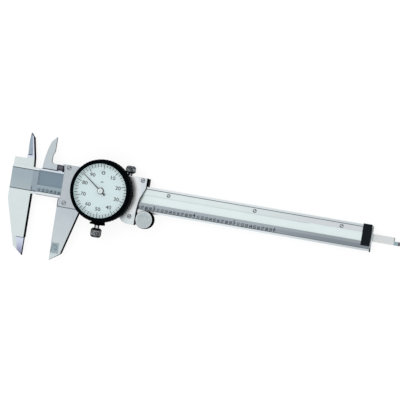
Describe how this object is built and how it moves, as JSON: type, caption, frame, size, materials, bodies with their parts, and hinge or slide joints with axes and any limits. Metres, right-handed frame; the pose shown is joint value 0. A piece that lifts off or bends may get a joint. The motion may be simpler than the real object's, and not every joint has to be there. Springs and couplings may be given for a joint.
{
  "type": "dial caliper",
  "caption": "Sliding caliper with a round dial: outside and inside jaws, depth rod, thumb roller, turning bezel and lock screw on a long graduated bar.",
  "frame": {"origin": "on the bar's back face, at its centre line, in line with the fixed jaw's measuring face", "axes": "+X along the bar towards the depth rod's tip, +Y towards the inside jaws, +Z out of the dial"},
  "size_m": [0.2456, 0.0745, 0.015],
  "materials": {
    "jaw_steel": "satin chromed hardened steel",
    "rack_steel": "milled steel",
    "screw_steel": "turned steel",
    "plate_steel": "fine brushed steel",
    "rod_steel": "ground steel",
    "spring_steel": "spring steel",
    "roller_steel": "turned and knurled steel",
    "knob_metal": "blackened knurled steel",
    "black_metal": "black finish",
    "bezel_black": "black satin finish",
    "pinion_steel": "cut steel",
    "brass": "fine turned brass",
    "hand_black": "matt black",
    "hand_cap_metal": "polished",
    "dial_enamel": "matt white paint",
    "crystal": "clear"
  },
  "bodies": {
    "bar": {"beam": "jaw_steel", "rack": "rack_steel", "rack_screws": "screw_steel", "end_stop": "black_metal", "end_stop_screws": "screw_steel"},
    "slide": {"slide_body": "jaw_steel", "gib": "black_metal", "gib_screws": "screw_steel", "front_plate": "plate_steel", "plate_screws": "screw_steel", "depth_rod": "rod_steel", "depth_rod_rivets": "rod_steel", "roller_arm": "spring_steel", "roller_arm_screws": "screw_steel", "roller_axle": "screw_steel", "dial_case": "black_metal", "case_screws": "screw_steel", "bridge_pillars": "brass", "movement_bridge": "brass", "bridge_screws": "screw_steel"},
    "transfer_arbor": {"transfer_arbor": "pinion_steel", "transfer_wheel": "brass", "take_up_wheel": "brass", "take_up_spring": "spring_steel"},
    "hand_arbor": {"centre_pinion": "pinion_steel", "hand": "hand_black", "hand_cap": "hand_cap_metal"},
    "thumb_roller": {"thumb_roller": "roller_steel"},
    "bezel": {"bezel": "bezel_black", "dial_snap_ring": "spring_steel", "dial_plate": "dial_enamel", "dial_spacer": "black_metal", "crystal": "crystal", "bezel_wire": "spring_steel"},
    "lock_screw": {"lock_screw": "knob_metal"},
    "bezel_clamp": {"bezel_clamp_screw": "knob_metal"}
  },
  "joints": [
    {"name": "jaw_slide", "type": "slide", "parent": "bar", "child": "slide", "axis": [1, 0, 0], "range_m": [-0.01738, 0.135]},
    {"name": "transfer_arbor_turn", "type": "hinge", "parent": "slide", "child": "transfer_arbor", "pos_m": [0.03792, 0.001, 0.008], "axis": [0, 0, 1], "continuous": true},
    {"name": "hand_turn", "type": "hinge", "parent": "slide", "child": "hand_arbor", "pos_m": [0.0456, 0.001, 0.008], "axis": [0, 0, 1], "continuous": true},
    {"name": "thumb_roller_turn", "type": "hinge", "parent": "slide", "child": "thumb_roller", "pos_m": [0.07465, -0.0118, 0.005], "axis": [0, 0, 1], "continuous": true},
    {"name": "bezel_turn", "type": "hinge", "parent": "slide", "child": "bezel", "pos_m": [0.0456, 0.001, 0.01], "axis": [0, 0, 1], "continuous": true},
    {"name": "lock_screw_turn", "type": "hinge", "parent": "slide", "child": "lock_screw", "pos_m": [0.0596, 0.0172, 0.00215], "axis": [0, 1, 0], "range_deg": [-90, 270]},
    {"name": "bezel_clamp_turn", "type": "hinge", "parent": "slide", "child": "bezel_clamp", "pos_m": [0.0456, -0.0245, 0.0073], "axis": [0, -1, 0], "range_deg": [-90, 270]}
  ],
  "couplings": [
    {"joint": "transfer_arbor_turn", "follows": "jaw_slide", "rad_per_m": 494.74},
    {"joint": "hand_turn", "follows": "jaw_slide", "rad_per_m": -2473.7},
    {"joint": "thumb_roller_turn", "follows": "jaw_slide", "rad_per_m": 263.16}
  ]
}
